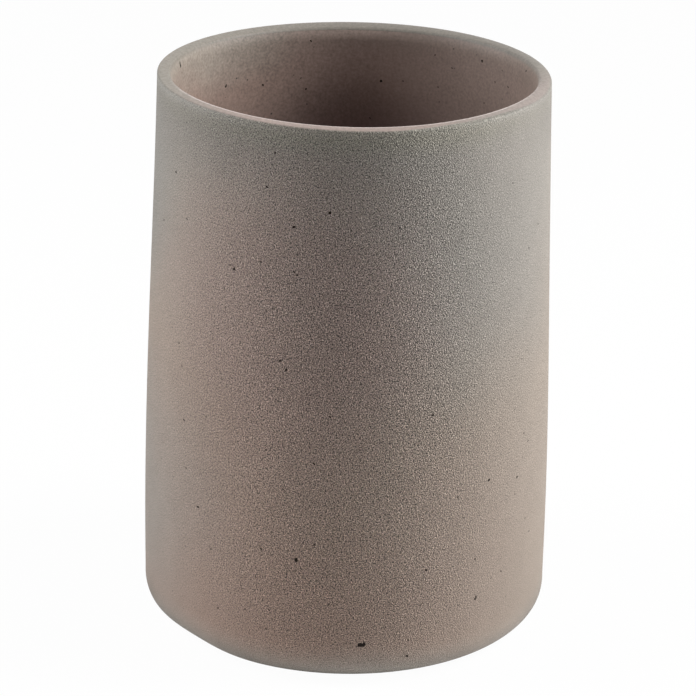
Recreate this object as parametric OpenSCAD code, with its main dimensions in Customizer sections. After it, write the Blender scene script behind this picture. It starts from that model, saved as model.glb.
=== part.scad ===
// Bathroom tumbler: a one-piece stoneware cup, matt glazed inside, on a non-slip base pad.
// The origin is the middle of the pad's underside, and +Z runs up through the mouth.

/* [Cup outline] */
// Height of the fired cup, from its foot to its lip
cup_h = 110; // [90:0.5:130]
// Outer diameter at the widest part, low on the wall
belly_d = 80.8; // [78:0.2:94]
// Height of the widest part above the foot
belly_z = 13.2; // [9:0.2:26]
// Outer diameter at the lip
rim_d = 75; // [64:0.2:78]
// Slope of the wall at the lip, as a share of its mean slope above the widest part
lip_slope_share = 0.76; // [0.4:0.02:1.2]
// Radius that rounds the wall into the foot
base_r = 5.8; // [3:0.2:8]

/* [Wall and lip] */
// Clay wall just above the inner floor
wall_base_t = 3.6; // [2.8:0.1:5]
// Clay wall at the lip
lip_t = 2.8; // [2.2:0.1:3.4]
// Rounding of the lip's outer edge, as a share of the lip's thickness
lip_outer_share = 0.2; // [0.14:0.02:0.4]
// Width of the easing on the lip's inner edge, as a share of the lip's thickness
lip_inner_share = 0.26; // [0.14:0.02:0.5]
// Height over which that easing runs out into the wall
lip_ease_h = 3.2; // [1.2:0.2:5]

/* [Floor and foot] */
// Clay between the foot's level and the middle of the inner floor
floor_t = 4.8; // [4:0.1:7]
// Rise of the inner floor from its middle to its corner
floor_dish = 0.5; // [0.2:0.1:1.2]
// Radius of the inner corner between floor and wall
floor_r = 6; // [4:0.5:10]
// Width of the foot ring's flat underside
foot_w = 7.2; // [5:0.2:10]
// Depth of the recess inside the foot ring
recess_h = 1.5; // [1:0.1:2.2]
// Bevel that softens the foot ring's inner edge
foot_bevel = 0.6; // [0.3:0.1:0.9]

/* [Glaze lining] */
// Thickness of the matt glaze that lines the inside
glaze_t = 0.4; // [0.3:0.05:0.6]
// Distance from the top of the lip down to the glaze's edge
glaze_stop = 0.4; // [0.3:0.1:1]

/* [Base pad] */
// Height by which the pad stands out below the foot ring
pad_proud = 0.5; // [0.2:0.1:1.2]
// Gap between the pad's edge and the recess around it
pad_gap = 0.4; // [0.2:0.1:1]
// Bevel on the pad's lower edge
pad_bevel = 0.3; // [0.1:0.1:0.5]

/* [Hidden] */

// Flat bands that follow the long, nearly straight wall, and those in each rounded stretch
wall_bands = 14;
corner_bands = 10;
lip_bands = 7;
dish_bands = 5;

clay_colour = [0.50, 0.45, 0.42];
glaze_colour = [0.45, 0.40, 0.37];
pad_colour = [0.20, 0.20, 0.21];

lip_outer_r = lip_t * lip_outer_share;
lip_inner_w = lip_t * lip_inner_share;
glaze_angle = 180 - asin(1 - glaze_stop / lip_ease_h);
foot_r = outer_r(base_r) - base_r;
recess_r = foot_r - foot_w;
corner_z = floor_t + floor_dish + floor_r;
corner_x = inner_r(corner_z) - floor_r;
pad_t = recess_h + pad_proud;
pad_r = recess_r - pad_gap;

// Outer radius at height z above the foot. One cubic gives the belly, the nearly
// straight taper above it and the wall that turns upright again towards the lip.
function outer_r(z) =
    let (u = (z - belly_z) / (cup_h - belly_z),
         fall = u * u * (3 - lip_slope_share - (2 - lip_slope_share) * u))
    (belly_d - (belly_d - rim_d) * fall) / 2;

// Clay thickness at height z, thinning evenly from the floor to the lip
function wall_t(z) =
    wall_base_t + (lip_t - wall_base_t) * (z - floor_t) / (cup_h - floor_t);

function inner_r(z) = outer_r(z) - wall_t(z);

// Points down the lip's inner easing, a quarter of an ellipse that is level at 90
// degrees and meets the wall at 180, drawn inwards by the thickness of a coat
function easing(from, to, coat) = [
    for (i = [0:lip_bands])
        let (a = from + (to - from) * i / lip_bands,
             z = cup_h - lip_ease_h + lip_ease_h * sin(a))
        [inner_r(z) + lip_inner_w * (1 + cos(a)) - coat, z]
];

// Points on an arc about [x, z], from one angle to another
function arc(x, z, r, from, to, bands) = [
    for (i = [0:bands])
        let (a = from + (to - from) * i / bands)
        [x + r * cos(a), z + r * sin(a)]
];

// Outside of the cup, from the edge of the foot up to the lip's outer rounding
function outer_side() = concat(
    arc(foot_r, base_r, base_r, -90, 0, corner_bands),
    [for (i = [1:wall_bands - 1])
        let (z = base_r + (cup_h - lip_outer_r - base_r) * i / wall_bands)
        [outer_r(z), z]]
);

// Rounded lip, from the outside over the flat top to the glaze's edge
function lip() = concat(
    arc(outer_r(cup_h - lip_outer_r) - lip_outer_r, cup_h - lip_outer_r,
        lip_outer_r, 0, 90, lip_bands),
    all_but_last(easing(90, glaze_angle, 0))
);

// Inside of the cup from the glaze's edge down to the middle of the floor, drawn
// inwards by the thickness of a coat that lies on it
function cavity(coat) = concat(
    easing(glaze_angle, 180, coat),
    [for (i = [1:wall_bands - 1])
        let (top = cup_h - lip_ease_h, z = top + (corner_z - top) * i / wall_bands)
        [inner_r(z) - coat, z]],
    arc(corner_x, corner_z, floor_r - coat, 0, -90, corner_bands),
    [for (i = [1:dish_bands])
        let (out = 1 - i / dish_bands)
        [corner_x * out, floor_t + floor_dish * out * out + coat]]
);

function reversed(points) = [for (i = [len(points) - 1:-1:0]) points[i]];

function all_but_last(points) = [for (i = [0:len(points) - 2]) points[i]];

module cup_body() {
    color(clay_colour)
        translate([0, 0, pad_proud])
            rotate_extrude($fn = 180)
                polygon(concat(
                    [[0, recess_h], [recess_r, recess_h],
                     [recess_r, foot_bevel], [recess_r + foot_bevel, 0]],
                    outer_side(), lip(), cavity(0)));
}

module inner_glaze() {
    color(glaze_colour)
        translate([0, 0, pad_proud])
            rotate_extrude($fn = 180)
                polygon(concat(cavity(0), reversed(cavity(glaze_t))));
}

module base_pad() {
    color(pad_colour)
        rotate_extrude($fn = 180)
            polygon([[0, 0], [pad_r - pad_bevel, 0], [pad_r, pad_bevel],
                     [pad_r, pad_t], [0, pad_t]]);
}

cup_body();
inner_glaze();
base_pad();
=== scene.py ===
# %% [markdown]
# # A speckled stoneware bathroom tumbler
# The real cup is thrown or cast in one piece from a gritty clay, sanded, fired and glazed matt
# on the inside only. Nothing on it is straight or sharp, so everything here is a surface of
# revolution with a little hand-made unevenness. The packed model gives the frame: its box says
# where the foot, the lip and the widest part are, and every new piece is worked out from that.

import bpy
import numpy as np
from mathutils import Matrix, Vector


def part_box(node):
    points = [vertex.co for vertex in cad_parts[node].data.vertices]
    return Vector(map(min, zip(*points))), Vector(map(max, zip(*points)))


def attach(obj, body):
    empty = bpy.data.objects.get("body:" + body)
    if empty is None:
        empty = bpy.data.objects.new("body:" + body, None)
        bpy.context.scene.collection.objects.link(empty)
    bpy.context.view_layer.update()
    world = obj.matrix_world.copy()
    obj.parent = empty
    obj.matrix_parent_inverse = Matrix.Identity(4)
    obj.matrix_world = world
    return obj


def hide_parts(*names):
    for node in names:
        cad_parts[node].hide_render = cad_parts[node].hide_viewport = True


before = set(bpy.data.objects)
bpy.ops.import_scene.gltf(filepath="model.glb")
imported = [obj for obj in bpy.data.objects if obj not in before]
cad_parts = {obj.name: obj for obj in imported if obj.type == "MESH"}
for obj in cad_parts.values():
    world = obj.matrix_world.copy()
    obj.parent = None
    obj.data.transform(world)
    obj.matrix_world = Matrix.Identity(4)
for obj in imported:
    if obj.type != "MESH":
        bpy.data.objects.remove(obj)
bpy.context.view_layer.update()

MM = 0.001
print("frame pieces:", sorted(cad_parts))

# %% [markdown]
# ## Sizes
# The cup could be measured by eye from the photograph, but the packed model already has its size.
# The box round its clay body gives the levels of foot and lip and the widest radius. The sizes of
# the outline between them are the real ones, in metres: how far the wall draws in towards the
# lip, how it thins, and how the edges are rounded.

# %% Name the sizes of the cup
cup_low, cup_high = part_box("cup_body")

FOOT_Z = cup_low.z
CUP_H = cup_high.z - cup_low.z
BELLY_R = (cup_high.x - cup_low.x) / 2
BELLY_Z = 13.2 * MM
RIM_R = 37.5 * MM
LIP_SLOPE_SHARE = 0.76
BASE_R = 5.8 * MM
WALL_BASE_T = 3.6 * MM
LIP_T = 2.8 * MM
LIP_OUTER_R = 0.35 * MM
LIP_EASE_W = 0.26 * LIP_T
LIP_EASE_H = 3.2 * MM
FLOOR_T = 4.8 * MM
FLOOR_DISH = 0.5 * MM
FLOOR_R = 6 * MM
FOOT_W = 7.2 * MM
RECESS_H = 1.5 * MM
FOOT_BEVEL = 0.6 * MM
print(f"cup {CUP_H / MM:.1f} mm tall, {2 * BELLY_R / MM:.1f} mm at its widest")

# %% [markdown]
# ## The outline as formulas
# A potter's profile is one line turned round an axis. It could be a curve drawn by hand, but then
# nothing else could ask it how wide the cup is at some height. So short functions carry it: the
# outer and the inner radius at a height, and the mouth's, where the lip is eased into the wall.
# The rounded base edge and the inner corner are arcs that meet them.

# %% Write the outline's formulas
def outer_radius(z):
    """Outer radius at height z above the foot. A cubic that is level at the widest part, falls
    nearly straight above it and turns a little more upright towards the lip."""
    u = (z - BELLY_Z) / (CUP_H - BELLY_Z)
    fall = u * u * (3 - LIP_SLOPE_SHARE - (2 - LIP_SLOPE_SHARE) * u)
    return BELLY_R - (BELLY_R - RIM_R) * fall


def inner_radius(z):
    """Radius of the clay's inner wall: the outer radius less a wall that thins evenly upwards."""
    climbed = (z - FLOOR_T) / (CUP_H - FLOOR_T)
    return outer_radius(z) - (WALL_BASE_T + (LIP_T - WALL_BASE_T) * climbed)


def mouth_radius(z):
    """Radius of the clay inside, where a quarter of an ellipse opens the lip's inner edge."""
    climbed = np.clip(1 - (CUP_H - z) / LIP_EASE_H, 0, 1)
    return inner_radius(z) + LIP_EASE_W * (1 - np.sqrt(1 - climbed ** 2))


def easing_heights(top, bottom, count):
    """Heights down that quarter ellipse, close together near the top, where it bends most."""
    bend = np.arccos(1 - np.array([CUP_H - top, CUP_H - bottom]) / LIP_EASE_H)
    return CUP_H - LIP_EASE_H * (1 - np.cos(np.linspace(bend[0], bend[1], count)))


def arc(r_mid, z_mid, radius, start, end, count):
    """Points (r, z) on an arc about (r_mid, z_mid), from one angle to another in degrees."""
    angle = np.radians(np.linspace(start, end, count))
    return np.stack([r_mid + radius * np.cos(angle), z_mid + radius * np.sin(angle)], -1)


def straight(start, end, count):
    """Points (r, z) spread evenly from start to end."""
    return np.linspace(start, end, count)


def wall_points(radius_at, z_from, z_to, count):
    """Points (r, z) up or down a wall whose radius is a function of height."""
    z = np.linspace(z_from, z_to, count)
    return np.stack([radius_at(z), z], -1)


def joined(first, *others):
    """One line of points from stretches that meet. Each but the first leaves out its first point,
    which is the last one of the stretch before."""
    return np.concatenate([first] + [stretch[1:] for stretch in others])


def dished_floor(count, lift=0):
    """Points (r, z) along the inner floor to the axis. It rises with the square of the radius."""
    share = np.linspace(1, 0, count)
    return np.stack([CORNER_R * share, FLOOR_T + FLOOR_DISH * share ** 2 + lift], -1)


FOOT_R = outer_radius(BASE_R) - BASE_R
RECESS_R = FOOT_R - FOOT_W
CORNER_Z = FLOOR_T + FLOOR_DISH + FLOOR_R
CORNER_R = inner_radius(CORNER_Z) - FLOOR_R
print(f"foot ring {2 * FOOT_R / MM:.1f} mm across, inner corner at {CORNER_Z / MM:.1f} mm")

# %% [markdown]
# ## The hand in the shape
# No thrown cup is quite round. Each push below is a soft bell, centred on one side and height,
# that moves the whole wall a tenth or two of a millimetre, and one shaves the base edge at the
# left front, where the cup was trimmed. A few slow waves go round it as well. The lip isn't true
# either: it dips at the front, its outer edge rolls over on the right, and at the back it leans
# in over a thicker wall. Nothing is pushed past the packed model's box.

# %% Push the wall about
PUSHES = (
    {"side": 88, "height": 96 * MM, "round": 45, "up": 26 * MM, "by": 0.17 * MM},
    {"side": -88, "height": 68 * MM, "round": 45, "up": 34 * MM, "by": 0.1 * MM},
    {"side": 82, "height": 4 * MM, "round": 30, "up": 8 * MM, "by": 0.05 * MM},
    {"side": 75, "height": 2.2 * MM, "round": 34, "up": 3.1 * MM, "by": 0.155 * MM},
    {"side": -76, "height": 2.2 * MM, "round": 22, "up": 3.4 * MM, "by": 0.12 * MM},
    {"side": -50, "height": 0.5 * MM, "round": 13.5, "up": 7 * MM, "by": -0.87 * MM},
)
WAVES = 5
WAVE_HEIGHT = 0.012 * MM
LIP_DIPS = (
    {"side": 200, "round": 40, "by": 0.12 * MM},
    {"side": 8, "round": 44, "by": 0.39 * MM},
)
ROLL = {"side": 72, "round": 55, "across": 1.9 * MM, "down": 3 * MM, "by": 0.55 * MM}
LEAN_BACK = {"side": 180, "round": 62, "down": 3 * MM, "by": 0.8 * MM}
THICK_BACK = {"side": 180, "round": 58, "down": 22 * MM, "by": 0.75 * MM}
hand = np.random.default_rng(11)
wave_phase = hand.uniform(0, 2 * np.pi, WAVES)
wave_lean = hand.uniform(-0.03, 0.03, WAVES) / MM


def bell(angle, push):
    """1 on the side that a push is centred on, fading to 0 round the cup."""
    turned_by = angle - np.radians(push["side"] - 90)
    aside = (turned_by + np.pi) % (2 * np.pi) - np.pi
    return np.exp(-(aside / np.radians(push["round"])) ** 2)


def uneven(angle, z):
    """How far the wall is moved outwards at an angle and a height: the sum of the pushes, each a
    bell round the cup times a bell up it, and of waves that never rise above 0."""
    moved = 0 * angle + 0 * z
    for push in PUSHES:
        above = (z - push["height"]) / push["up"]
        moved = moved + push["by"] * bell(angle, push) * np.exp(-above ** 2)
    for i in range(WAVES):
        wave = np.sin((i + 2) * angle + wave_phase[i] + wave_lean[i] * z)
        moved = moved + WAVE_HEIGHT * (wave - 1)
    return moved


def lip_drop(angle, r, z):
    """How far a point sinks: the lip dips here and there, its outer edge rolls over on the
    right, and at the back its top leans in. Roll and lean grow with the square of the distance
    across the lip, and fade out below it."""
    dip = sum(low["by"] * bell(angle, low) for low in LIP_DIPS) * (z / CUP_H) ** 4
    outward = np.clip(1 - (outer_radius(z) - r) / ROLL["across"], 0, 1)
    inward = np.clip((outer_radius(z) - r) / LIP_T, 0, 1)
    rolled = ROLL["by"] * bell(angle, ROLL) * outward ** 2
    rolled = rolled * np.clip(1 - (CUP_H - z) / ROLL["down"], 0, 1)
    leaned = LEAN_BACK["by"] * bell(angle, LEAN_BACK) * inward ** 2
    return dip + rolled + leaned * np.clip(1 - (CUP_H - z) / LEAN_BACK["down"], 0, 1)


def thicker(angle, r, z):
    """How far the inside of the wall stands in at the back, where it was left thicker: a bell
    round the cup, growing from 0 on the outside to 1 on the inside."""
    inward = np.clip((outer_radius(z) - r) / (outer_radius(z) - inner_radius(z)), 0, 1)
    fade = np.exp(-((CUP_H - z) / THICK_BACK["down"]) ** 2)
    return THICK_BACK["by"] * bell(angle, THICK_BACK) * inward * fade


def by_hand(angle, r, z):
    """Moves ring points as the hand did: outwards, and down. The recess stays true."""
    share = np.clip((r - RECESS_R) / FOOT_W, 0, 1)
    moved = uneven(angle, z) * share - thicker(angle, r, z)
    return r + moved, z - np.where(z > 0, lip_drop(angle, r, z), 0)


once_round = np.linspace(0, 2 * np.pi, 99)
print(f"halfway up, the wall moves at most {abs(uneven(once_round, CUP_H / 2)).max() / MM:.2f} mm")

# %% [markdown]
# ## From a line to a closed mesh
# Blender's Screw modifier could turn a profile round, but it can't push the wall about. So the
# mesh is worked out here. A profile that starts and ends on the axis becomes a closed skin: each
# point makes a ring, and each end makes one pole. Working on whole arrays keeps it fast, and the
# order of the corners makes every face point outwards.

# %% Turn a profile into a mesh
AROUND = 288
SHARP_ANGLE = np.radians(50)


def make_mesh(name, points, faces):
    """A smooth-shaded object at the origin from an array of points and lists of corners."""
    mesh = bpy.data.meshes.new(name)
    mesh.from_pydata(points, [], faces)
    mesh.shade_smooth()
    mesh.set_sharp_from_angle(angle=SHARP_ANGLE)
    piece = bpy.data.objects.new(name, mesh)
    bpy.context.scene.collection.objects.link(piece)
    print(f"{name}: {len(points)} points, {len(mesh.polygons)} faces")
    return piece


def turned(name, profile, shape=None):
    """Turns (r, z) points, listed with the outside of the solid on their right, round the axis:
    x = r cos(angle), y = r sin(angle). The first and last points are on the axis and become
    poles. shape may move each ring point: it takes angle, r and z as arrays and gives r and z."""
    ring = profile[1:-1]
    angle = np.linspace(0, 2 * np.pi, AROUND, endpoint=False)[None, :]
    r = np.repeat(ring[:, :1], AROUND, axis=1)
    z = np.repeat(ring[:, 1:], AROUND, axis=1)
    if shape is not None:
        r, z = shape(angle, r, z)
    grid = np.stack([r * np.cos(angle), r * np.sin(angle), z + FOOT_Z], -1).reshape(-1, 3)
    poles = np.array([[0, 0, profile[0, 1] + FOOT_Z], [0, 0, profile[-1, 1] + FOOT_Z]])
    column = np.arange(AROUND)
    after = (column + 1) % AROUND
    row = (np.arange(len(ring) - 1) * AROUND)[:, None]
    quads = np.stack([row + column, row + after, row + AROUND + after,
                      row + AROUND + column], -1).reshape(-1, 4)
    first, last = len(grid), len(grid) + 1
    top = (len(ring) - 1) * AROUND
    start_fan = np.stack([np.full(AROUND, first), after, column], -1)
    end_fan = np.stack([np.full(AROUND, last), top + column, top + after], -1)
    faces = quads.tolist() + start_fan.tolist() + end_fan.tolist()
    return make_mesh(name, np.concatenate([grid, poles]), faces)


print(f"{AROUND} points in each ring")

# %% [markdown]
# ## The camera
# The photograph was taken from a little above, with a long lens about half a metre away. A camera
# could be moved about until the pictures match, but the cup's outline fixes it better: how wide
# the mouth's ellipse is gives the height of the view, and how much the far side narrows gives the
# distance. The camera was also turned by a degree, which is why the cup leans to the right.

# %% Place the camera
PICTURE_PX = 696
FOCAL_PX = 2800
CAMERA_DISTANCE = 553.7 * MM
CAMERA_ELEVATION = np.radians(21.355)
CAMERA_ROLL = np.radians(1.204)
AIM_ASIDE = -0.094 * MM
AIM_HEIGHT = 53.41 * MM
TARGET = np.array([AIM_ASIDE, 0, AIM_HEIGHT + FOOT_Z])

looking = np.array([0, np.cos(CAMERA_ELEVATION), -np.sin(CAMERA_ELEVATION)])
level_right = np.array([1.0, 0, 0])
level_up = np.cross(level_right, looking)
camera_right = np.cos(CAMERA_ROLL) * level_right + np.sin(CAMERA_ROLL) * level_up
camera_up = np.cos(CAMERA_ROLL) * level_up - np.sin(CAMERA_ROLL) * level_right
camera_at = TARGET - looking * CAMERA_DISTANCE

lens = bpy.data.cameras.new("photo_camera")
lens.sensor_width = 36
lens.lens = FOCAL_PX / PICTURE_PX * lens.sensor_width
lens.clip_start = 0.01
camera = bpy.data.objects.new("photo_camera", lens)
bpy.context.scene.collection.objects.link(camera)
turn = np.stack([camera_right, camera_up, -looking], -1)
camera.matrix_world = Matrix.Translation(camera_at) @ Matrix(turn.tolist()).to_4x4()
bpy.context.scene.camera = camera
print(f"lens {lens.lens:.1f} mm at {CAMERA_DISTANCE:.3f} m")

# %% [markdown]
# ## Light
# The cup stands on white paper between two pairs of soft boxes, one low and one high on each
# side, the right pair stronger. They stand level with the cup's axis or a little behind it, so
# the middle of the cup is its darkest part, both edges are bright, and the light that grazes the
# middle brings out its sandy grain. Area lights are large, which keeps every shade soft.

# %% Light the cup
BOX_DISTANCE = 0.7
BOX_WIDTH = 0.3
BOX_HEIGHT = 0.4


def soft_box(name, azimuth, elevation, strength):
    """An area light that faces the cup. Azimuth 0 is the camera's side, 90 is the right. Its place
    is the cup's middle plus the distance times (sin a cos e, -cos a cos e, sin e)."""
    a, e = np.radians(azimuth), np.radians(elevation)
    way = np.array([np.sin(a) * np.cos(e), -np.cos(a) * np.cos(e), np.sin(e)])
    lamp = bpy.data.lights.new(name, "AREA")
    lamp.shape = "RECTANGLE"
    lamp.size = BOX_WIDTH
    lamp.size_y = BOX_HEIGHT
    lamp.energy = strength
    lit = bpy.data.objects.new(name, lamp)
    side = np.cross([0, 0, 1.0], way)
    side /= np.linalg.norm(side)
    up = np.cross(way, side)
    axes = Matrix(np.stack([side, up, way], -1).tolist()).to_4x4()
    middle = np.array([0, 0, CUP_H / 2])
    lit.matrix_world = Matrix.Translation(middle + way * BOX_DISTANCE) @ axes
    bpy.context.scene.collection.objects.link(lit)


BOXES = (("right_high_box", 88, 40, 4.25), ("right_low_box", 94, 8, 3.05),
         ("left_high_box", -88, 40, 2.9), ("left_low_box", -100, 8, 2.4))
for name, azimuth, elevation, strength in BOXES:
    soft_box(name, azimuth, elevation, strength)
print(f"{len(BOXES)} soft boxes, {BOX_DISTANCE} m from the cup")

# %% [markdown]
# ## Materials as arithmetic
# A shader's pattern is a sum of noises and masks. It could be wired by hand in the node editor,
# but that hides the sum. So a small class wraps a node's output and lets Python's operators add
# the Math nodes.

# %% Make node arithmetic
class Wire:
    """A node's output that can be used in a sum. Each operator adds one Math node."""

    def __init__(self, bench, socket):
        """Holds the output and the bench that it belongs to."""
        self.bench = bench
        self.socket = socket

    def __add__(self, other):
        """self + other"""
        return self.bench.math("ADD", self, other)

    def __sub__(self, other):
        """self - other"""
        return self.bench.math("SUBTRACT", self, other)

    def __rsub__(self, other):
        """other - self, as in 1 - mask"""
        return self.bench.math("SUBTRACT", other, self)

    def __mul__(self, other):
        """self x other"""
        return self.bench.math("MULTIPLY", self, other)

    __radd__ = __add__
    __rmul__ = __mul__


print("a Wire's operators:", [name for name in vars(Wire) if name.endswith(("add__", "sub__", "mul__"))])

# %% [markdown]
# ## A bench for each material, and for the air
# Any other node comes from one method that takes its type, its settings and what its sockets
# hold. On top of it the bench has the few patterns that this cup needs: where a point is, noise,
# packed grains of sand, dots, clouds and soft steps. All of them read Object coordinates, in
# metres, so a pattern keeps its real size on every piece.

# %% Set up the bench
SAND_APART = 0.7  # metres between the parts of the pattern that give the grains and the pits


class Bench:
    """One material, or the air, and what is needed to wire it."""

    def __init__(self, owner, shader="Principled BSDF"):
        """Holds what is wired, its nodes, and the shader that Blender puts among them."""
        owner.use_nodes = True
        self.owner = owner
        self.tree = owner.node_tree
        self.shader = self.tree.nodes[shader]

    def node(self, kind, settings=None, sockets=None, out=0):
        """Adds a node: its settings first, then the value or the wire of each socket."""
        made = self.tree.nodes.new(kind)
        for key, value in (settings or {}).items():
            setattr(made, key, value)
        for key, value in (sockets or {}).items():
            self.feed(made.inputs[key], value)
        return Wire(self, made.outputs[out])

    def feed(self, socket, value):
        """Links a wire to a socket, or sets the socket to a plain value."""
        if isinstance(value, Wire):
            self.tree.links.new(value.socket, socket)
        else:
            socket.default_value = value

    def math(self, operation, a, b=0.0):
        """One Math node on two numbers."""
        return self.node("ShaderNodeMath", {"operation": operation}, {0: a, 1: b})

    def vector(self, operation, a, b=(0, 0, 0), out=0):
        """One Vector Math node on two places, ways or colours."""
        return self.node("ShaderNodeVectorMath", {"operation": operation}, {0: a, 1: b}, out)

    def length(self, way):
        """How long a way is: the square root of x x + y y + z z."""
        return self.vector("LENGTH", way, out=1)

    def shifted(self, places, by):
        """Places moved by the same distance along each axis."""
        return self.vector("ADD", places, (by,) * 3)

    def place(self):
        """Where a point is on the piece."""
        return self.node("ShaderNodeTexCoord", out="Object")

    def noise(self, size, detail=2.0, roughness=0.5, shift=0.0):
        """A noise whose blobs are about size across, from 0 to 1. shift takes another part of it."""
        return self.node("ShaderNodeTexNoise", None,
                         {"Vector": self.shifted(self.place(), shift), "Scale": 1 / size,
                          "Detail": detail, "Roughness": roughness})

    def height(self):
        """Height above the floor."""
        return self.node("ShaderNodeSeparateXYZ", None, {0: self.place()}, out=2)

    def depth(self):
        """Distance behind the axis."""
        return self.node("ShaderNodeSeparateXYZ", None, {0: self.place()}, out=1)

    def across(self):
        """Distance to the right of the axis."""
        return self.node("ShaderNodeSeparateXYZ", None, {0: self.place()})

    def radius(self):
        """Distance from the axis."""
        return self.length(self.vector("MULTIPLY", self.place(), (1, 1, 0)))

    def unrolled(self):
        """The wall laid flat, in metres: how far round it, and how far up it. The radius is
        added to the height, so that the second one runs on under the foot."""
        turned_by = self.math("ARCTAN2", self.across(), self.depth() * -1.0)
        return self.node("ShaderNodeCombineXYZ", None,
                         {0: turned_by * BELLY_R, 1: self.height() + self.radius()})

    def packed_sand(self, size):
        """Grains of sand side by side, size across, over pits of the same kind: 0 on average. The pale
        grains and dark pits are partly the clay's own grain and partly painted shading.
        """
        flat = self.unrolled()
        grains, pits = (self.node("ShaderNodeTexVoronoi", {"voronoi_dimensions": "2D"},
                                  {"Vector": places, "Scale": 1 / size})
                        for places in (flat, self.shifted(flat, SAND_APART)))
        return pits - grains

    def flecks(self, spacing, radius, share, shift=0.0):
        """Small dots, 1 in their middles, in that share of the cells of an uneven lattice."""
        cells = {"Vector": self.shifted(self.place(), shift), "Scale": 1 / spacing}
        away = self.node("ShaderNodeTexVoronoi", None, cells) * spacing
        pick = self.node("ShaderNodeTexVoronoi", None, cells, out=1)
        chosen = self.math("LESS_THAN", self.node("ShaderNodeSeparateXYZ", None, {0: pick}), share)
        return self.ramp(away, radius * 0.5, radius, 1.0, 0.0) * chosen

    def drift(self, size, reach):
        """Places pushed about by a slow noise, which frays the edge of what is drawn with them."""
        swirl = self.node("ShaderNodeTexNoise", None,
                          {"Vector": self.place(), "Scale": 1 / size, "Detail": 3.0}, out=1)
        push = self.scaled(self.shifted(swirl, -0.5), reach)
        return self.vector("ADD", self.place(), push)

    def cloud(self, egg, places=None):
        """A soft egg-shaped cloud: 1 at its middle, fading to 0 at its reach along each axis. An
        egg is the two of them."""
        middle, reach = egg
        places = places or self.place()
        away = self.vector("DIVIDE", self.vector("SUBTRACT", places, middle), reach)
        return self.ramp(self.length(away), 0.25, 1.0, 1.0, 0.0)

    def ramp(self, value, low, high, to_low=0.0, to_high=1.0):
        """Soft step from to_low at value low to to_high at value high, level outside."""
        return self.node("ShaderNodeMapRange", {"interpolation_type": "SMOOTHSTEP"},
                         {"Value": value, "From Min": low, "From Max": high,
                          "To Min": to_low, "To Max": to_high})

    def mix(self, share, a, b):
        """Colour a, turning into b as share goes from 0 to 1."""
        return self.node("ShaderNodeMix", {"data_type": "RGBA"}, {0: share, 6: a, 7: b}, out=2)

    def scaled(self, colour, by):
        """A colour made lighter or darker by a factor, or a way made longer or shorter."""
        return self.node("ShaderNodeVectorMath", {"operation": "SCALE"}, {0: colour, "Scale": by})

    def blend(self, share, light):
        """Puts the shader, turning into another light as share goes from 0 to 1, where the
        shader alone went."""
        own = self.shader.outputs[0]
        surface = own.links[0].to_socket
        sockets = {0: share, 1: Wire(self, own), 2: light}
        self.feed(surface, self.node("ShaderNodeMixShader", None, sockets))

    def finish(self, **sockets):
        """Sets the shader's own sockets, named with _ for a space, and gives what was wired."""
        for key, value in sockets.items():
            self.feed(self.shader.inputs[key.replace("_", " ")], value)
        print(f"{self.owner.name}: {len(self.tree.nodes)} nodes")
        return self.owner


print("a bench's tools:", [name for name in vars(Bench) if not name.startswith("_")])

# %% [markdown]
# ## The tones of the clay
# Fired clay is never one colour. Where the flame had less air it stays grey and a little green,
# and elsewhere it warms to a pinkish brown. One noise could cloud the cup at random, but its
# clouds wouldn't lie where the real ones do. So a few soft egg-shaped clouds set the tones out on
# the front, each at its own side and height of the wall, and noise carries them round the back.

# %% Lay out the tones
OLIVE_CLAY = (0.273, 0.228, 0.189, 1)
WARM_CLAY = (0.308, 0.219, 0.176, 1)
ROSE_CLAY = (0.320, 0.215, 0.186, 1)
COOL_CLAY = (0.252, 0.233, 0.208, 1)
BAND_OLIVE = (0.253, 0.2375, 0.198, 1)
GREY_CLAY = (0.246, 0.240, 0.222, 1)
LIP_TOP = FOOT_Z + CUP_H
CLAY_DRIFT = (26 * MM, 16 * MM)


def on_wall(side, height):
    """The point of the wall at an angle to the right of the camera's side, in degrees:
    (r sin a, -r cos a, height)."""
    a = np.radians(side)
    r = outer_radius(height)
    return (r * np.sin(a), -r * np.cos(a), height + FOOT_Z)


def egg(side, height, *reach):
    """The middle of a cloud, on the wall, and its reach along x, y and z."""
    return on_wall(side, height), reach


CLAY_CLOUDS = {
    "warm": egg(-50, 0, 84 * MM, 84 * MM, 82 * MM),
    "cool_tongue": egg(34, 98 * MM, 77 * MM, 77 * MM, 53 * MM),
    "cool_patch": egg(-92, 28 * MM, 50 * MM, 50 * MM, 41 * MM),
    "rose": egg(-17, 74 * MM, 38 * MM, 38 * MM, 44 * MM),
    # Painted shade at the upper left, just below the lip.
    "smoke": egg(-56, CUP_H + 2 * MM, 36 * MM, 36 * MM, 21 * MM),
    # Greys the tone high on the left edge, and is painted shade there.
    "soot": egg(-88, 91 * MM, 20 * MM, 24 * MM, 28 * MM),
    # Painted shade at the upper right edge, by the lip.
    "haze": egg(86, CUP_H, 25 * MM, 25 * MM, 16 * MM),
    # Painted light in the lower middle of the front, which the side lights leave dark.
    "worn": egg(-9, 36 * MM, 26 * MM, 26 * MM, 34 * MM),
}


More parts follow.
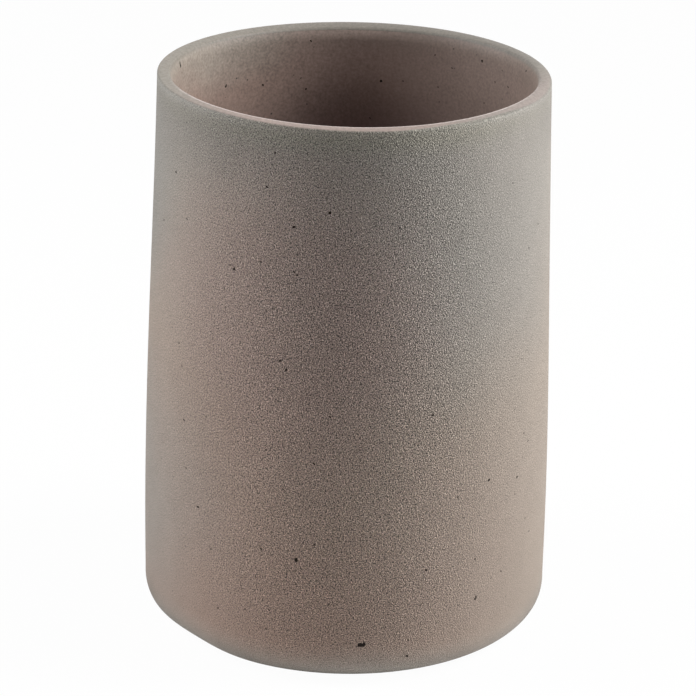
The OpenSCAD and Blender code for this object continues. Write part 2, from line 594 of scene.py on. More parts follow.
def clay_tone(bench):
    """Olive clay that turns warm, cool and rosy under its clouds, is cool again at the foot, olive
    in a band under the lip and grey at the upper left. Each step mixes in one more tone."""
    height = bench.height()
    drift = bench.drift(*CLAY_DRIFT)
    cloud = bench.noise(34 * MM, 3, 0.55, 4.0)
    at_back = bench.ramp(bench.depth(), -4 * MM, 16 * MM)
    warm = bench.cloud(CLAY_CLOUDS["warm"], drift)
    warm = bench.math("MAXIMUM", warm, at_back * bench.ramp(cloud, 0.5, 0.34))
    cool = bench.ramp(height + (cloud - 0.5) * (24 * MM), LIP_TOP - 60 * MM, LIP_TOP + 5 * MM)
    cool = bench.math("MAXIMUM", cool, bench.cloud(CLAY_CLOUDS["cool_tongue"], drift))
    cool = bench.math("MAXIMUM", cool, bench.cloud(CLAY_CLOUDS["cool_patch"], drift) * 0.8)
    cool = bench.math("MAXIMUM", cool, at_back * bench.ramp(cloud, 0.5, 0.68, 0.0, 0.8))
    foot = bench.ramp(height + (cloud - 0.5) * (5 * MM), FOOT_Z + 9 * MM, FOOT_Z)
    band = bench.ramp(height, LIP_TOP - 7 * MM, LIP_TOP - 1.5 * MM)
    band = band * bench.ramp(bench.across(), -32 * MM, -8 * MM, 0.5, 1.0)
    band = band * bench.ramp(bench.across(), 18 * MM, 36 * MM, 1.0, 0.3)
    tone = bench.mix(warm, OLIVE_CLAY, WARM_CLAY)
    tone = bench.mix(cool, tone, COOL_CLAY)
    tone = bench.mix(bench.cloud(CLAY_CLOUDS["rose"], drift) * 0.5, tone, ROSE_CLAY)
    tone = bench.mix(foot, tone, COOL_CLAY)
    tone = bench.mix(band, tone, BAND_OLIVE)
    # Grey tone high on the left edge, where the same cloud also paints shade.
    return bench.mix(bench.cloud(CLAY_CLOUDS["soot"]) * 0.6, tone, GREY_CLAY)


print(f"{len(CLAY_CLOUDS)} clouds on the clay, the lip's top {LIP_TOP / MM:.1f} mm above the floor")

# %% [markdown]
# ## The sponged lip
# Before glazing, the lip is wiped with a damp sponge. That takes the sand off its top, and a
# little glaze runs over it from the inside. A fine pale line along its inner edge at the front is
# a painted highlight. The lip could be a piece of its own, but on the real cup it is the same
# clay. So it stays in the clay's material, under a mask that is 1 on the top of the lip.

# %% Mix the lip
LIP_BEIGE = (0.291, 0.262, 0.223, 1)
LIP_CREAM = (0.350, 0.268, 0.235, 1)
LIP_BLUSH = (0.352, 0.294, 0.265, 1)
# Colour of the painted highlight on the lip's inner edge.
LIP_EDGE_HIGHLIGHT = (0.66, 0.58, 0.54, 1)
LIP_EDGE_R = mouth_radius(CUP_H)
SPONGED_W = 1.92 * MM
LIP_DRIFT = (12 * MM, 8 * MM)
LIP_CLOUDS = {
    "cream": egg(-3, CUP_H, 57 * MM, 36 * MM, 20 * MM),
    "blush": egg(62, CUP_H, 28 * MM, 28 * MM, 20 * MM),
    "back": egg(148, CUP_H, 56 * MM, 56 * MM, 30 * MM),
}


def lip_tone(bench):
    """The lip is cream at the front, where the glaze broke thin, a little rosy on the right and
    beige elsewhere, with painted shade at the back. Grit lightens and darkens it. Along its inner
    edge at the front runs a painted highlight, a fine pale line broken here and there."""
    grit = bench.noise(0.6 * MM, 2, 0.6, 8.0)
    front = bench.cloud(LIP_CLOUDS["cream"], bench.drift(*LIP_DRIFT))
    tone = bench.mix(front, LIP_BEIGE, LIP_CREAM)
    tone = bench.mix(bench.cloud(LIP_CLOUDS["blush"]), tone, LIP_BLUSH)
    tone = bench.scaled(tone, 0.55 + grit * 0.9)
    # Painted shade over the back of the lip.
    tone = bench.scaled(tone, 1.0 - bench.cloud(LIP_CLOUDS["back"]) * 0.3)
    # Painted highlight: a pale line along the inner edge, on the front only.
    line = bench.ramp(bench.radius(), LIP_EDGE_R + 0.1 * MM, LIP_EDGE_R + 0.45 * MM, 0.9, 0.0)
    line = line * bench.ramp(grit, 0.3, 0.55, 0.45, 1.0)
    return bench.mix(line * bench.ramp(bench.depth(), -6 * MM, -24 * MM), tone, LIP_EDGE_HIGHLIGHT)


def lip_mask(bench):
    """1 on the top of the lip. At the back and the front it covers the whole of it. At the
    near left and right the sponge missed the outer edge, and the sandy wall runs over it."""
    near = bench.ramp(bench.depth(), 6 * MM, -8 * MM)
    left = bench.ramp(bench.across(), -10 * MM, -24 * MM)
    right = bench.ramp(bench.across(), 6 * MM, 20 * MM)
    right = right * bench.ramp(bench.across(), 26 * MM, 35 * MM, 1.0, 0.0)
    reach = SPONGED_W - near * (left * (0.1 * MM) + right * (0.65 * MM))
    past = bench.radius() - LIP_EDGE_R - reach
    high = bench.ramp(bench.height(), LIP_TOP - 3 * MM, LIP_TOP - 2 * MM)
    return high * bench.ramp(past, -0.2 * MM, 0.2 * MM, 1.0, 0.0)


print(f"the lip's inner edge is {LIP_EDGE_R / MM:.2f} mm from the axis")

# %% [markdown]
# ## The sandy grain
# Over the tones lies a sandy grain of a quarter of a millimetre, which is relief and colour at
# once. Noise alone looks like fog at this size, so the colour comes from Voronoi cells on the
# wall laid flat, where each cell is one grain: a layer of pale grains over a layer of dark pits.
# That colour is partly the clay's own grain and partly painted shading of the relief, light on
# the grains and shade in the pits. The lip and the foot were wiped with a sponge, so the grain is
# weaker there. Its painted shading is also weaker on both flanks, most of all low down, as the
# side light grazes only the middle of the front, and a little weaker on the right, where the
# relief shades itself most.

# %% Mix the stoneware
RELIEF = 0.22 * MM
RELIEF_DEPTH = 0.36 * MM
SAND = 0.25 * MM
SAND_CONTRAST = 2.35
LEAST_SHADE = 0.2


def foot_wipe(bench):
    """1 at the foot, fading to 0 a centimetre above it."""
    return bench.ramp(bench.height(), FOOT_Z + 11 * MM, FOOT_Z + 1 * MM)


def off_flanks(bench):
    """1 in the middle of the cup, falling to a third on both flanks."""
    return bench.ramp(bench.math("ABSOLUTE", bench.across()), 8 * MM, 38 * MM, 1.0, 0.33)


def coarseness(bench, on_lip):
    """How strong the grain is: one soft step for each place where it is weaker, multiplied. The lip and
    the foot were wiped. On the flanks, low on them and on the right, the grain's painted shading is
    weaker, as the side light grazes only the middle of the front.
    """
    height = bench.height()
    middle = off_flanks(bench)
    upper = bench.ramp(height, LIP_TOP - 38 * MM, LIP_TOP - 1.5 * MM, 1.0, 0.68) * (1.0 - on_lip)
    # Weaker painted shading of the grain low on the flanks, where the side light doesn't graze.
    low_flanks = 1.0 - bench.ramp(height, FOOT_Z + 44 * MM, FOOT_Z + 12 * MM) * (1.0 - middle) * 0.55
    # A little weaker painted shading of the grain on the right, where the relief shades itself most.
    right = bench.ramp(bench.across(), 12 * MM, 34 * MM, 1.0, 0.78)
    lower = 1.0 - bench.ramp(height, FOOT_Z + 22 * MM, FOOT_Z + 5 * MM) * 0.28
    return upper * middle * low_flanks * right * lower * (1.0 - foot_wipe(bench) * 0.45)


def clay_shade(bench, coarse):
    """How light the clay is, as a factor: the mottle, the sand, which is partly painted shading, and
    the dots, and then one term for each area that is lighter or darker than the rest. These are
    painted shade at the upper left and right, on the left edge and at the base corners, and painted
    light in the lower middle and in the middle of the foot."""
    mottle = bench.noise(5 * MM, 3, 0.6, 1.0)
    dots = bench.flecks(2.4 * MM, 0.23 * MM, 0.28)
    wiped = foot_wipe(bench)
    # The sand's pale grains and dark pits are partly the clay's grain and partly painted shading.
    shade = 1.04 + (mottle - 0.5) * 0.18 + bench.packed_sand(SAND) * SAND_CONTRAST * coarse - dots * 0.5
    # Each area below is painted light or painted shade.
    for area, lighter in (
            # Painted shade at the upper left, just below the lip.
            (bench.cloud(CLAY_CLOUDS["smoke"], bench.drift(*CLAY_DRIFT)), -0.2),
            # Painted shade at the upper right edge, by the lip.
            (bench.cloud(CLAY_CLOUDS["haze"]), -0.14),
            # Painted shade high on the left edge.
            (bench.cloud(CLAY_CLOUDS["soot"]), -0.15),
            # Painted light in the lower middle of the front, which the side lights leave dark.
            (bench.cloud(CLAY_CLOUDS["worn"]), 0.08),
            # Painted shade down the left edge.
            (bench.ramp(bench.across(), -34 * MM, -41 * MM), -0.12),
            # Painted shade at the base's left and right corners, next to the floor.
            (wiped * bench.ramp(bench.math("ABSOLUTE", bench.across()), 32 * MM, 39 * MM), -0.28),
            # Painted light from the floor on the middle of the foot.
            (wiped * off_flanks(bench), 0.28)):
        shade = shade + area * lighter
    return bench.math("MAXIMUM", shade, LEAST_SHADE)


def stoneware():
    """Tone times shade, with the lip's own tone on the lip, over a relief of fine noise."""
    bench = Bench(bpy.data.materials.new("speckled_stoneware"))
    on_lip = lip_mask(bench)
    coarse = coarseness(bench, on_lip)
    body = bench.scaled(clay_tone(bench), clay_shade(bench, coarse))
    body = bench.mix(on_lip, body, lip_tone(bench))
    relief = bench.noise(RELIEF, 0.0, 0.5, 7.0) * coarse
    bump = bench.node("ShaderNodeBump", None,
                      {"Strength": 1.0, "Distance": RELIEF_DEPTH, "Height": relief})
    rough = bench.ramp(bench.height(), LIP_TOP - 2.5 * MM, LIP_TOP - 0.5 * MM, 0.9, 0.55)
    return bench.finish(Base_Color=body, Roughness=rough, Normal=bump, Sheen_Weight=0.05)


clay = stoneware()

# %% [markdown]
# ## Matt glaze
# The glaze inside is a thin, even coat over the same clay. It fills the sandy relief, warms the
# tone and has a dull shine. It could be the clay's material with the sand turned off, but it has
# clouds of its own, so it gets its own material. Under the lip, where it runs thin, it takes the
# lip's cooler tone, most of all on the left. It is a little olive on the right, and its fine
# mottle is strongest on the left. Soft clouds of painted light and painted shade lie over it.

# %% Mix the glaze
GLAZE_TONE = (0.277, 0.203, 0.177, 1)
GLAZE_DEEP = (0.215, 0.147, 0.151, 1)
GLAZE_WARM = (0.290, 0.204, 0.158, 1)
GLAZE_OLIVE = (0.262, 0.206, 0.163, 1)
GLAZE_COOL = (0.300, 0.262, 0.221, 1)
GLAZE_RELIEF_DEPTH = 0.08 * MM
GLAZE_MOTTLE = (2.2 * MM, 3, 0.6, 5.0)
GLAZE_CLOUDS = {
    "cool_left": egg(-125, CUP_H, 34 * MM, 34 * MM, 12 * MM),
    # Painted light on the inner left wall.
    "glow": egg(-98, CUP_H - 8 * MM, 30 * MM, 36 * MM, 29 * MM),
    # Olive tone and painted shade on the right inner wall.
    "dusk": egg(108, CUP_H - 12 * MM, 44 * MM, 44 * MM, 30 * MM),
    # Painted light on the back inner wall, below the lip.
    "middle": egg(180, CUP_H - 8 * MM, 20 * MM, 26 * MM, 14 * MM),
    # Painted shade low on the back inner wall.
    "gloom": egg(182, CUP_H - 16 * MM, 13 * MM, 30 * MM, 11 * MM),
    # Painted light on the inner wall at the back left.
    "gleam": egg(-145, CUP_H - 15 * MM, 12 * MM, 16 * MM, 7 * MM),
}


def left_end(bench):
    """1 at the left end of the mouth, falling to a third towards the middle."""
    return bench.ramp(bench.across(), -32 * MM, -18 * MM, 1.0, 0.3)


def glaze_tone(bench):
    """Deep tone low down and plain tone higher up, then warmer on the left, cooler under the lip
    and olive on the right. Each step mixes in one more tone."""
    height = bench.height()
    deep = bench.ramp(height, LIP_TOP - 45 * MM, LIP_TOP - 8 * MM)
    warm = deep * bench.ramp(bench.across(), -2 * MM, -24 * MM, 0.0, 0.5)
    ragged = height + (bench.noise(26 * MM, 3, 0.5, 2.0) - 0.5) * (3 * MM)
    thin = bench.ramp(ragged, LIP_TOP - 6 * MM, LIP_TOP - 1 * MM) * left_end(bench)
    cool = bench.cloud(GLAZE_CLOUDS["cool_left"], bench.drift(*LIP_DRIFT))
    tone = bench.mix(deep, GLAZE_DEEP, GLAZE_TONE)
    tone = bench.mix(warm, tone, GLAZE_WARM)
    tone = bench.mix(bench.math("MAXIMUM", thin, cool * 0.88), tone, GLAZE_COOL)
    return bench.mix(bench.cloud(GLAZE_CLOUDS["dusk"]) * 0.25, tone, GLAZE_OLIVE)


def glaze_shade(bench):
    """How light the glaze is, as a factor: a mottle and dots, livelier on the left and high up,
    and then one term for each area that is lighter or darker than the rest. These are painted light
    on the left, at the back below the lip and at the back left, and painted shade on the right, low
    at the back and in a band under the lip."""
    height = bench.height()
    mottle = (bench.noise(*GLAZE_MOTTLE) - 0.5) * 0.22
    fine = (bench.noise(0.5 * MM, 1, 0.5, 6.0) - 0.5) * 0.58
    dots = bench.flecks(2.4 * MM, 0.24 * MM, 0.36, 3.0) * 0.5
    lively = bench.ramp(bench.across(), -12 * MM, 12 * MM, 1.7, 1.05)
    lively = lively * bench.ramp(height, LIP_TOP - 30 * MM, LIP_TOP - 12 * MM, 0.5, 1.0)
    shade = 0.98 + (mottle + fine - dots) * lively
    # Clouds of painted light and painted shade on the inner wall.
    for name, lighter in (("dusk", -0.07), ("glow", 0.29), ("middle", 0.18), ("gleam", 0.13),
                          ("gloom", -0.13)):
        shade = shade + bench.cloud(GLAZE_CLOUDS[name]) * lighter
    # Painted shade in a band under the lip, less on the left.
    shade_under_lip = bench.ramp(height, LIP_TOP - 10 * MM, LIP_TOP - 3 * MM) * (1.0 - left_end(bench))
    return shade - shade_under_lip * 0.08


def matt_glaze():
    """Tone times shade, passing into the lip's tone at the top, over a faint relief."""
    bench = Bench(bpy.data.materials.new("matt_glaze"))
    height = bench.height()
    at_lip = bench.ramp(height, LIP_TOP - 1.2 * MM, LIP_TOP - 0.4 * MM)
    body = bench.mix(at_lip, bench.scaled(glaze_tone(bench), glaze_shade(bench)), lip_tone(bench))
    bump = bench.node("ShaderNodeBump", None,
                      {"Strength": 0.5, "Distance": GLAZE_RELIEF_DEPTH,
                       "Height": bench.noise(*GLAZE_MOTTLE)})
    rough = bench.ramp(height, LIP_TOP - 5 * MM, LIP_TOP - 1.2 * MM, 0.62, 0.55)
    return bench.finish(Base_Color=body, Roughness=rough, Normal=bump)


glaze_coat = matt_glaze()

# %% [markdown]
# ## The clay cup
# The clay is one fired piece, so it is one closed mesh. A solid with its inside cut out would do
# the same, but its cut edges can't be pushed about. So the profile itself runs all the way: from
# the middle of the recess under the foot, round the foot ring and the base edge, up the wall, over
# the lip and down to the middle of the inner floor.

# %% Turn the cup
GLAZE_STOP = 0.4 * MM
COAT_TOP = CUP_H - GLAZE_STOP
COAT_FADE = 14 * MM
EASE_LOW = CUP_H - LIP_EASE_H
FADE_LOW = COAT_TOP - COAT_FADE
coat_heights = joined(easing_heights(COAT_TOP, EASE_LOW, 14), np.linspace(EASE_LOW, FADE_LOW, 26))


def inside_points(z):
    """Points (r, z) down the inside of the clay."""
    return np.stack([mouth_radius(z), z], -1)


def cup_profile():
    """The whole outline as (r, z) points. Each stretch ends with its number of points."""
    lip_out_z = CUP_H - LIP_OUTER_R
    lip_out_r = outer_radius(lip_out_z) - LIP_OUTER_R
    roll_z = lip_out_z - ROLL["down"]
    return joined(
        straight([0, RECESS_H], [RECESS_R, RECESS_H], 10),
        straight([RECESS_R, RECESS_H], [RECESS_R, FOOT_BEVEL], 5),
        straight([RECESS_R, FOOT_BEVEL], [RECESS_R + FOOT_BEVEL, 0], 4),
        straight([RECESS_R + FOOT_BEVEL, 0], [FOOT_R, 0], 8),
        arc(FOOT_R, BASE_R, BASE_R, -90, 0, 24),
        wall_points(outer_radius, BASE_R, roll_z, 116),
        wall_points(outer_radius, roll_z, lip_out_z, 9),
        arc(lip_out_r, lip_out_z, LIP_OUTER_R, 0, 90, 9),
        straight([lip_out_r, CUP_H], [LIP_EDGE_R, CUP_H], 9),
        inside_points(easing_heights(CUP_H, COAT_TOP, 6)),
        inside_points(coat_heights),
        wall_points(inner_radius, FADE_LOW, CORNER_Z, 20),
        arc(CORNER_R, CORNER_Z, FLOOR_R, 0, -90, 8),
        dished_floor(8))


cup = turned("stoneware_cup", cup_profile(), by_hand)
cup.data.materials.append(clay)

# %% [markdown]
# ## The glaze coat
# The coat follows the clay's inner wall and floor. A Solidify modifier could thicken the clay's
# inside, but it would end in a step at the lip. Here the thickness grows from nothing at the lip's
# inner edge over more than a centimetre, so no step shows. The coat shares the clay's rings in
# that stretch, which keeps the two skins from cutting through each other.

# %% Turn the glaze
GLAZE_T = 0.4 * MM


def lining(thickness_at):
    """Points down the inner wall and over the floor, drawn in by the coat's thickness."""
    z = joined(coat_heights, np.linspace(FADE_LOW, CORNER_Z, 60))
    wall = np.stack([mouth_radius(z) - thickness_at(z), z], -1)
    coat = thickness_at(np.array(CORNER_Z))
    corner = arc(CORNER_R, CORNER_Z, FLOOR_R - coat, 0, -90, 20)
    return joined(wall, corner, dished_floor(16, coat))


def coat_thickness(z):
    """Nothing at the coat's edge, full thickness where the fade ends, and between them the soft
    step s x s x (3 - 2 s)."""
    share = np.clip((COAT_TOP - z) / COAT_FADE, 0, 1)
    return GLAZE_T * share * share * (3 - 2 * share)


outside = lining(lambda z: 0 * z)
inside = lining(coat_thickness)
glaze = turned("matt_glaze_lining", joined(outside[::-1], inside), by_hand)
glaze.data.materials.append(glaze_coat)

# %% [markdown]
# ## The pad
# Under the foot is a punched disc of dense black foam, which keeps the cup from slipping and from
# scratching a shelf. A cylinder with a bevel would do, but the same turning tool makes it, with
# its lower edge rounded. Its fine cells are a noise.

# %% Turn the pad
pad_low, pad_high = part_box("base_pad")
PAD_R = pad_high.x
PAD_T = pad_high.z - pad_low.z
PAD_EDGE_R = 0.3 * MM
FOAM_DARK = (0.04, 0.04, 0.042, 1)
FOAM_PALE = (0.05, 0.05, 0.052, 1)
FOAM_CELL = 0.5 * MM
FOAM_RELIEF_DEPTH = 0.08 * MM
pad_bottom = -FOOT_Z


def foam():
    """A near black that noise lightens and darkens, and the same noise as a shallow relief."""
    bench = Bench(bpy.data.materials.new("pad_foam"))
    cells = bench.noise(FOAM_CELL, 1, 0.5)
    tone = bench.scaled(bench.mix(0.5, FOAM_DARK, FOAM_PALE), 0.8 + cells * 0.4)
    bump = bench.node("ShaderNodeBump", None,
                      {"Strength": 0.5, "Distance": FOAM_RELIEF_DEPTH, "Height": cells})
    return bench.finish(Base_Color=tone, Roughness=0.9, Normal=bump)


pad = turned("non_slip_pad", joined(
    straight([0, pad_bottom], [PAD_R - PAD_EDGE_R, pad_bottom], 6),
    arc(PAD_R - PAD_EDGE_R, pad_bottom + PAD_EDGE_R, PAD_EDGE_R, -90, 0, 6),
    straight([PAD_R, pad_bottom + PAD_EDGE_R], [PAD_R, pad_bottom + PAD_T], 4),
    straight([PAD_R, pad_bottom + PAD_T], [0, pad_bottom + PAD_T], 4)))
pad.data.materials.append(foam())

# %% [markdown]
# ## Iron specks
# Grains of iron ore in the clay melt in the kiln and bleed through as dark, slightly raised dots.
# They could be painted by the clay's material, but a material can't easily put a dot in one given
# place. The photograph shows where the larger ones are, so each is cast from the camera through
# its pixel onto the wall. Each line gives the pixel, across and down, and the grain's size in
# millimetres.

# %% List the grains that show
WALL_SPECKS = (
    (330, 213, 0.58), (294, 227, 0.58), (234, 269, 0.62), (230, 265, 0.34), (267, 187, 0.45),
    (275, 153, 0.42), (261, 262, 0.42), (294, 272, 0.38), (297, 275, 0.42), (176, 172, 0.56),
    (187, 219, 0.42), (164, 220, 0.45), (400, 228, 0.35), (538, 224, 0.32), (513, 183, 0.32),
    (529, 248, 0.4), (280, 361, 0.52), (286, 370, 0.48), (330, 417, 0.42), (266, 450, 0.42),
    (198, 507, 0.6), (182, 366, 0.42), (186, 468, 0.4), (283, 489, 0.32), (314, 464, 0.48),
    (179, 343, 0.5), (184, 420, 0.5), (261, 549, 0.52), (433, 415, 0.48), (489, 480, 0.62),
    (517, 477, 0.6), (524, 433, 0.42), (528, 441, 0.42), (527, 350, 0.3), (522, 359, 0.32),
    (515, 376, 0.26), (458, 497, 0.42), (515, 494, 0.3), (525, 518, 0.32), (529, 531, 0.4),
    (296, 560, 0.86), (296, 584, 0.35), (269, 610, 0.4), (245, 609, 0.4), (218, 608, 0.45),
    (329, 604, 0.4), (249, 633, 0.35), (361, 645, 1.15), (364, 644, 0.75), (407, 656, 0.52),
    (476, 597, 0.5), (475, 599, 0.53), (426, 570, 0.54), (501, 571, 0.44), (491, 578, 0.3),
    (408, 640, 0.4), (475, 559, 0.4), (211, 549, 0.38), (314, 545, 0.35), (266, 629, 0.35),
    (459, 605, 0.26),
)
INNER_SPECKS = (
    (180, 62.8, 0.5), (180.3, 64.6, 0.56), (180.7, 66.2, 0.5), (226, 86, 0.62), (263, 85, 0.54),
    (306, 89, 0.5), (311, 41, 0.44), (307, 104, 0.32), (267, 81, 0.28), (381, 81, 0.65),
    (403, 81, 0.36), (482, 61, 0.65), (526, 71, 0.5), (508, 87, 0.46), (452, 68, 0.36),
    (435, 55, 0.36), (438, 87, 0.34), (370, 118, 0.38), (484, 103, 0.34), (495, 82, 0.4),
    (507, 93, 0.26), (294, 75, 0.26), (301, 78, 0.32), (314, 47, 0.22),
)
print(f"{len(WALL_SPECKS)} grains outside and {len(INNER_SPECKS)} inside")

# %% [markdown]
# A ray has no formula for where it meets this wall, because the wall isn't quite round. So each
# ray is walked in even steps until it has gone through, and the last step is halved again and
# again.

# %% Find the places on the wall
STEP_UP = 0.02 * MM
CAST_STEPS = 900
HALVINGS = 16


def skin_radius(a, h):
    """Radius of the outside at an angle and a height: the outline with its rounded base edge, and
    the unevenness on top."""
    low = np.clip(BASE_R - h, 0, BASE_R)
    drawn = np.where(h < BASE_R, FOOT_R + np.sqrt(BASE_R ** 2 - low ** 2), outer_radius(h))
    return drawn + uneven(a, h)


def coat_radius(a, h):
    """Radius of the coat's surface inside: the clay's, less the coat, moved as the hand did."""
    drawn = mouth_radius(h) - coat_thickness(h)
    return drawn + uneven(a, h) - thicker(a, drawn, h)


def polar(points):
    """Angle, radius and height above the foot of points in space."""
    x, y, z = points[..., 0], points[..., 1], points[..., 2]
    return np.arctan2(y, x), np.hypot(x, y), z - FOOT_Z


def past_outside(points):
    """True where a point has gone through the outer wall."""
    a, r, h = polar(points)
    return (h > 0) & (h < CUP_H) & (r < skin_radius(a, h))


def past_inside(points):
    """True where a point below the lip has gone through the inner wall."""
    a, r, h = polar(points)
    return (h < COAT_TOP) & (r > coat_radius(a, h))


def cast(pixels, past):
    """Where the rays through pixels first pass a wall. A ray's points are the camera's place plus
    a distance times its way."""
    across = (pixels[:, :1] - PICTURE_PX / 2) / FOCAL_PX
    down = (pixels[:, 1:2] - PICTURE_PX / 2) / FOCAL_PX
    ways = looking + across * camera_right - down * camera_up
    reach = np.linspace(CAMERA_DISTANCE - CUP_H, CAMERA_DISTANCE + CUP_H, CAST_STEPS)
    through = past(camera_at + ways[:, None] * reach[:, None])
    first = through.argmax(1)
    before, after = reach[first - 1], reach[first]
    for _ in range(HALVINGS):
        middle = (before + after) / 2
        gone = past(camera_at + ways * middle[:, None])
        after = np.where(gone, middle, after)
        before = np.where(gone, before, middle)
    return camera_at + ways * after[:, None]


def spots(radius_at, outward, side, height):
    """Points on a wall and their normals, from sides in degrees and heights above the foot. The
    normal leans by how fast the radius grows with height."""
    a = np.radians(side - 90)
    r = radius_at(a, height)
    rise = (radius_at(a, height + STEP_UP) - radius_at(a, height - STEP_UP)) / (2 * STEP_UP)
    point = np.stack([r * np.cos(a), r * np.sin(a), height + FOOT_Z], -1)
    normal = np.stack([np.cos(a), np.sin(a), -rise], -1) * outward
    return point, normal / np.linalg.norm(normal, axis=1, keepdims=True)


def seen_spots(listed, past, radius_at, outward):
    """The same for listed pixels, with the grains' sizes in metres."""
    listed = np.array(listed)
    a, _, h = polar(cast(listed[:, :2], past))
    point, normal = spots(radius_at, outward, np.degrees(a) + 90, h)
    return point, normal, listed[:, 2] * MM


wall_seen = seen_spots(WALL_SPECKS, past_outside, skin_radius, 1)
inner_seen = seen_spots(INNER_SPECKS, past_inside, coat_radius, -1)
print(f"{len(wall_seen[0])} grains cast on the outside, {len(inner_seen[0])} on the inside")

# %% [markdown]
# Where the photograph doesn't show, on the back and in the depths of the cup, the grains are
# spread by a seeded random draw, so they are the same each time. Even sizes would look printed.
# The sizes follow a skewed draw instead, as most grains are small.

# %% Scatter the unseen grains
BACK_COUNT = 62
DEPTH_COUNT = 70
LEAST_GRAIN = 0.34
GRAIN_SPREAD = 0.4
GRAIN_SKEW = 3


def scattered(count, side_from, side_to, low, high, radius_at, outward):
    """Random spots between two sides and two heights. A size is the least one plus the spread
    times the cube of a draw between 0 and 1."""
    side = hand.uniform(side_from, side_to, count)
    height = hand.uniform(low, high, count)
    point, normal = spots(radius_at, outward, side, height)
    return point, normal, (LEAST_GRAIN + GRAIN_SPREAD * hand.random(count) ** GRAIN_SKEW) * MM


groups = [wall_seen, inner_seen,
          scattered(BACK_COUNT, 88, 272, 4 * MM, 106 * MM, skin_radius, 1),
          scattered(DEPTH_COUNT // 2, -88, 88, 14 * MM, 106 * MM, coat_radius, -1),
          scattered(DEPTH_COUNT // 2, 92, 268, 14 * MM, 78 * MM, coat_radius, -1)]
points, normals, sizes = (np.concatenate([group[i] for group in groups]) for i in range(3))
print(f"{len(points)} grains in all, {sizes.min() / MM:.2f} to {sizes.max() / MM:.2f} mm across")

# %% [markdown]
# A melted grain is a flat, uneven blob. A squashed sphere for each would be round and heavy, so
# every grain is one small closed lens of 30 faces, its rim just under the surface, and all of
# them together are one mesh.

# %% Mould the grains
SIDES = 10
GRAIN_RISE = 0.025 * MM
RIM_SINK = 0.008 * MM
ROOT_SINK = 0.05 * MM
UPPER_RING = 0.75
UPPER_RISE = 0.7
TWO_WAVE, THREE_WAVE = 0.16, 0.12
STRETCH = 0.22
IRON_BLACK = (0.007, 0.005, 0.004, 1)
IRON_BROWN = (0.024, 0.015, 0.011, 1)


def lenses(name, points, normals, sizes):
    """One closed lens for each point: an uneven rim just under the surface, a raised ring, a
    top and a root. Rings are r(t) = size / 2 x (1 + a slow random wave), stretched one way."""
    count = len(points)
    level = np.cross(normals, [0, 0, 1.0])
    level /= np.linalg.norm(level, axis=1, keepdims=True)
    upright = np.cross(normals, level)
    t = np.linspace(0, 2 * np.pi, SIDES, endpoint=False)[None, :]
    phase = hand.uniform(0, 2 * np.pi, (3, count, 1))
    wave = TWO_WAVE * np.sin(2 * t + phase[0]) + THREE_WAVE * np.sin(3 * t + phase[1])
    stretch = 1 + STRETCH * np.cos(2 * (t - phase[2]))
    rim = sizes[:, None] / 2 * (1 + wave) * stretch
    flat = np.cos(t)[..., None] * level[:, None] + np.sin(t)[..., None] * upright[:, None]
    out = normals[:, None]
    middle = points[:, None]
    ring_low = middle + flat * rim[..., None] - out * RIM_SINK
    ring_high = middle + flat * rim[..., None] * UPPER_RING + out * GRAIN_RISE * UPPER_RISE
    ends = np.stack([points + normals * GRAIN_RISE, points - normals * ROOT_SINK], 1)
    corners = np.concatenate([ring_low, ring_high, ends], 1).reshape(-1, 3)
    i = np.arange(SIDES)
    j = (i + 1) % SIDES
    top, root = 2 * SIDES, 2 * SIDES + 1
    quads = np.stack([i, j, SIDES + j, SIDES + i], -1)
    caps = np.concatenate([np.stack([SIDES + i, SIDES + j, np.full(SIDES, top)], -1),
                           np.stack([j, i, np.full(SIDES, root)], -1)])
    start = (np.arange(count) * (2 * SIDES + 2))[:, None, None]
    faces = (start + quads).reshape(-1, 4).tolist() + (start + caps).reshape(-1, 3).tolist()
    return make_mesh(name, corners, faces)


def iron():
    """Burnt iron: black that turns dark brown with a fine noise."""
    bench = Bench(bpy.data.materials.new("iron_specks"))
    tone = bench.mix(bench.noise(0.3 * MM, 1, 0.5), IRON_BLACK, IRON_BROWN)
    return bench.finish(Base_Color=tone, Roughness=0.8, Specular_IOR_Level=0.2)


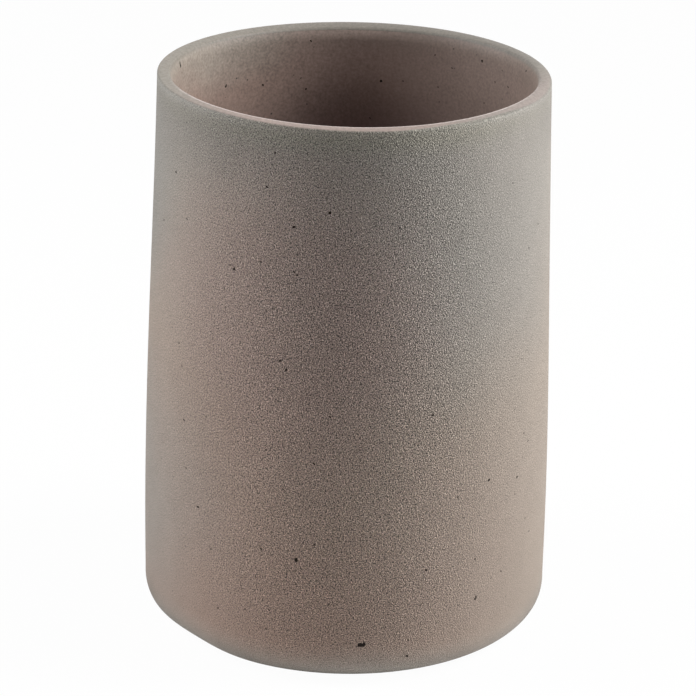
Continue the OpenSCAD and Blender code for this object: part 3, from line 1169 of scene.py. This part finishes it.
specks = lenses("iron_specks", points, normals, sizes)
specks.data.materials.append(iron())

# %% [markdown]
# ## White paper
# The cup stands on a plain white sheet. More light would turn it white, but would bleach the cup
# too. So the sheet glows a little, and only where the camera sees it directly: it comes out
# white and still shows a part of the cup's soft shadow.

# %% Lay the floor
WHITE = (1, 1, 1, 1)
PAPER_WHITE = (0.88, 0.88, 0.88, 1)
SEEN_GLOW = 0.97
FLOOR_HALF = 3.0


def paper():
    """Plain white paper, mixed with a white glow for camera rays."""
    bench = Bench(bpy.data.materials.new("white_paper"))
    seen = bench.node("ShaderNodeLightPath", out="Is Camera Ray")
    glow = bench.node("ShaderNodeEmission", None, {"Color": WHITE, "Strength": 1.0})
    bench.blend(seen * SEEN_GLOW, glow)
    return bench.finish(Base_Color=PAPER_WHITE, Roughness=0.95)


floor_corners = np.array([[-1, -1, 0], [1, -1, 0], [1, 1, 0], [-1, 1, 0]]) * FLOOR_HALF
floor = make_mesh("paper_floor", floor_corners, [[0, 1, 2, 3]])
floor.data.materials.append(paper())

# %% [markdown]
# The air round the cup gives no light, so that only the soft boxes shape it. But black air would
# show behind the cup and in its dull shine. So it is white for rays that come straight from the
# camera, off a shine or through glass.

# %% Set the air
world = bpy.data.worlds.new("studio_air")
bpy.context.scene.world = world
air = Bench(world, "Background")
white_for = air.node("ShaderNodeLightPath", out="Is Camera Ray")
for ray in ("Is Glossy Ray", "Is Transmission Ray"):
    white_for = air.math("MAXIMUM", white_for, air.node("ShaderNodeLightPath", out=ray))
air.blend(white_for, air.node("ShaderNodeBackground", None, {"Color": WHITE}))
air.finish(Color=WHITE, Strength=0.0)

# %% [markdown]
# ## Hand the pieces over
# Each piece stands for its packed node and rides on the one rigid body of the cup.

# %% Finish
for piece, node, slot in ((cup, "cup_body", "stoneware"), (glaze, "inner_glaze", "matt_glaze"),
                          (pad, "base_pad", "foam_pad")):
    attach(piece, "root")
    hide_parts(node)
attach(specks, "root")

bpy.context.scene.view_settings.view_transform = "Standard"
